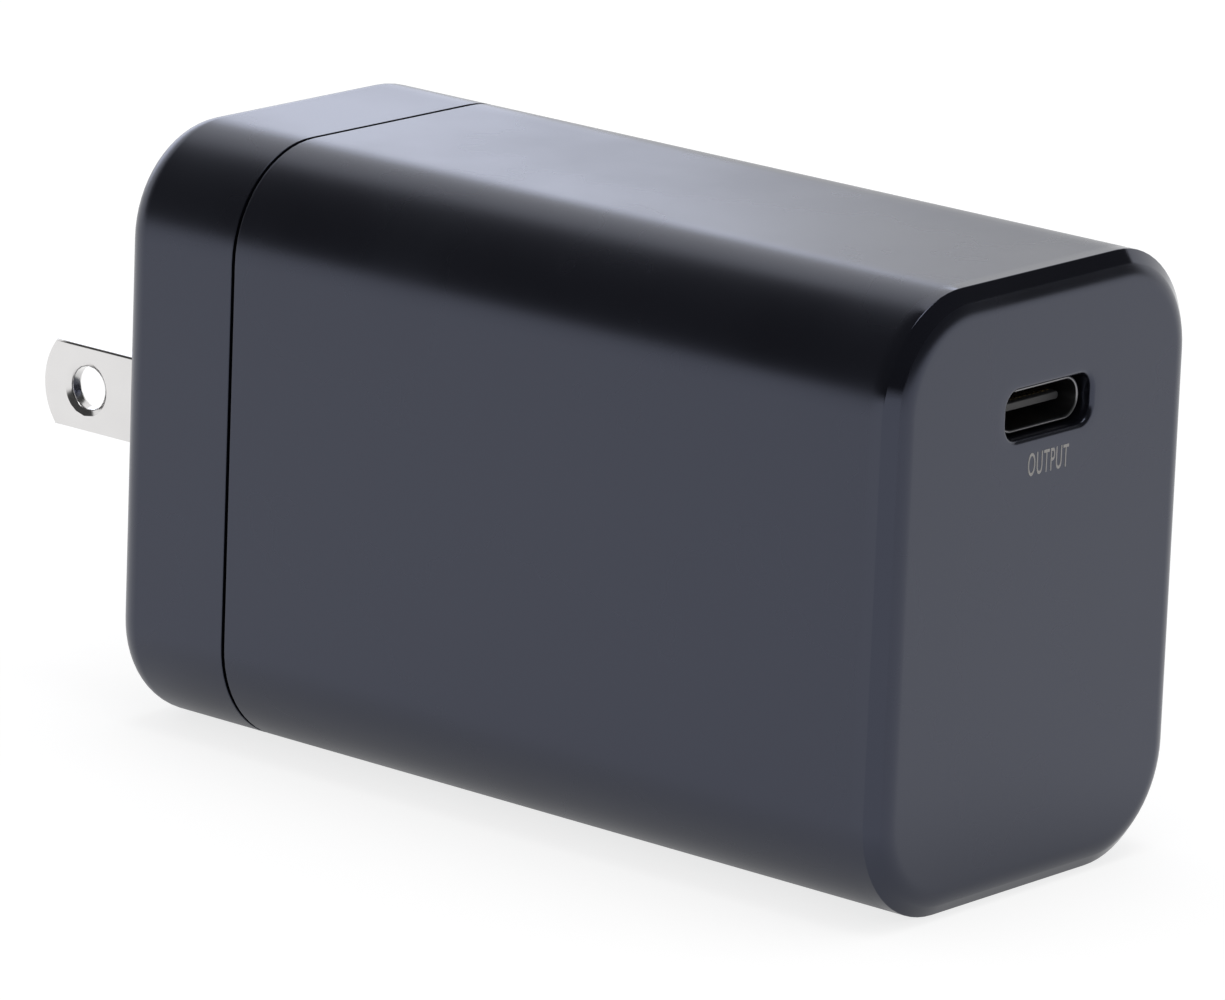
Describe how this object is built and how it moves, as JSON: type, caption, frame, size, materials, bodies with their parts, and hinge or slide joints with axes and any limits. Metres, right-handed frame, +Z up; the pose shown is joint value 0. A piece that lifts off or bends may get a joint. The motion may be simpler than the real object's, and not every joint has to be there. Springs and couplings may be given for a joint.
{
  "type": "usb wall charger",
  "caption": "Slim plug-in wall charger: a rounded dark box with a cable socket on its front and flat prongs that fold up into the rear face.",
  "frame": {"origin": "middle of the rear face that meets the wall, halfway between the prongs at their mid-height", "axes": "+Y out of the rear face along the prongs, into the wall; the socket faces -Y; +Z up; +X across the width"},
  "size_m": [0.0324, 0.0862, 0.0434],
  "materials": {
    "satin_black": "satin moulded polycarbonate",
    "inner_black": "moulded, glass filled",
    "nickel": "bright nickel plate on brass",
    "spring_steel": "rolled and stamped",
    "brass": "stamped strip",
    "board_green": "glass-fibre laminate with solder mask",
    "ferrite": "sintered ferrite",
    "copper": "enamelled copper winding",
    "bobbin_white": "moulded nylon",
    "can_sleeve": "shrink sleeve over an aluminium can",
    "can_aluminium": "drawn can",
    "film_yellow": "moulded box",
    "disc_blue": "dipped disc",
    "fuse_brown": "moulded box",
    "chip_black": "moulded epoxy",
    "aluminium": "rolled sheet",
    "film_amber": "insulating film",
    "pad_grey": "filled silicone"
  },
  "bodies": {
    "charger": {"main_housing": "satin_black", "rear_cover": "satin_black", "prong_retainer": "inner_black", "detent_spring": "spring_steel", "retainer_screw_left": "spring_steel", "retainer_screw_right": "spring_steel", "contact_left": "brass", "contact_right": "brass", "main_board": "board_green", "port_board": "board_green", "protocol_chip": "chip_black", "port_shell": "spring_steel", "port_tongue": "inner_black", "transformer_core": "ferrite", "transformer_bobbin": "bobbin_white", "transformer_winding": "copper", "bulk_capacitor_left": "can_sleeve", "bulk_capacitor_right": "can_sleeve", "bulk_capacitor_cross": "can_sleeve", "output_capacitor_left": "can_aluminium", "output_capacitor_right": "can_aluminium", "choke_core": "ferrite", "choke_winding_upper": "copper", "choke_winding_lower": "copper", "filter_capacitor": "film_yellow", "suppression_capacitor": "disc_blue", "fuse": "fuse_brown", "bridge_rectifier": "chip_black", "power_switch": "chip_black", "thermistor": "chip_black", "heat_spreader": "aluminium", "insulation_sleeve": "film_amber", "thermal_pad_left": "pad_grey", "thermal_pad_right": "pad_grey"},
    "prongs": {"prong_carrier": "inner_black", "prong_left": "nickel", "prong_right": "nickel"}
  },
  "joints": [
    {"name": "prong_fold", "type": "hinge", "parent": "charger", "child": "prongs", "pos_m": [0, -0.0036, 0], "axis": [1, 0, 0], "range_deg": [0, 90]}
  ]
}
